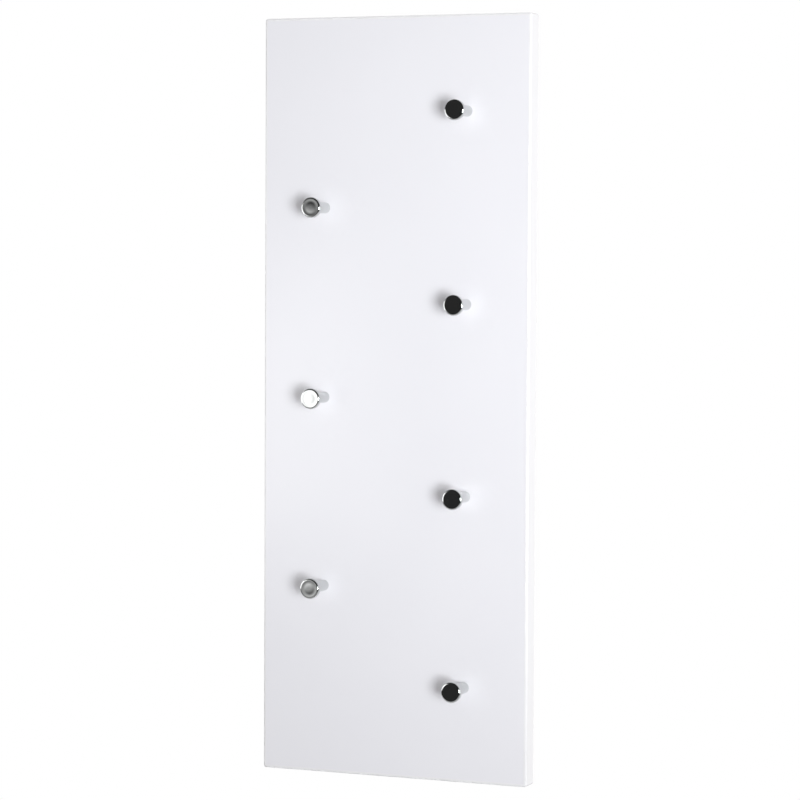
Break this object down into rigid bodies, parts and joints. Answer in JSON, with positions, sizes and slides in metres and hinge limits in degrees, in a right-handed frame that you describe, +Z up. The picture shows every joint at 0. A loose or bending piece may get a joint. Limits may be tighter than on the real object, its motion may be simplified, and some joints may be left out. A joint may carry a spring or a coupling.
{
  "type": "wall coat rack",
  "caption": "Tall narrow wall board in white gloss with a zigzag of flat-headed chrome coat pegs, hung on two keyhole plates.",
  "frame": {"origin": "on the wall plane, midway between the entry holes of the two keyhole plates", "axes": "+Z up, the board's front and the pegs face -Y, +Y points into the wall, +X to the right as seen by someone facing the front"},
  "size_m": [0.3, 0.06, 0.8],
  "materials": {
    "mdf": "matte",
    "white_gloss": "gloss",
    "white_gloss_edge": "gloss",
    "white_backing": "matte",
    "chrome": "polished",
    "zinc_screw": "satin",
    "zinc_washer": "satin",
    "zinc_plate": "satin",
    "wood_screw": "satin"
  },
  "bodies": {
    "root": {"back_sheet": "white_backing", "board_core": "mdf", "edge_band_bottom": "white_gloss_edge", "edge_band_left": "white_gloss_edge", "edge_band_right": "white_gloss_edge", "edge_band_top": "white_gloss_edge", "front_gloss_sheet": "white_gloss", "keyhole_plate_left": "zinc_plate", "keyhole_plate_right": "zinc_plate", "knob_1": "chrome", "knob_2": "chrome", "knob_3": "chrome", "knob_4": "chrome", "knob_5": "chrome", "knob_6": "chrome", "knob_7": "chrome", "knob_screw_1": "zinc_screw", "knob_screw_2": "zinc_screw", "knob_screw_3": "zinc_screw", "knob_screw_4": "zinc_screw", "knob_screw_5": "zinc_screw", "knob_screw_6": "zinc_screw", "knob_screw_7": "zinc_screw", "knob_washer_1": "zinc_washer", "knob_washer_2": "zinc_washer", "knob_washer_3": "zinc_washer", "knob_washer_4": "zinc_washer", "knob_washer_5": "zinc_washer", "knob_washer_6": "zinc_washer", "knob_washer_7": "zinc_washer", "plate_screw_left_lower": "wood_screw", "plate_screw_left_upper": "wood_screw", "plate_screw_right_lower": "wood_screw", "plate_screw_right_upper": "wood_screw"}
  },
  "joints": []
}
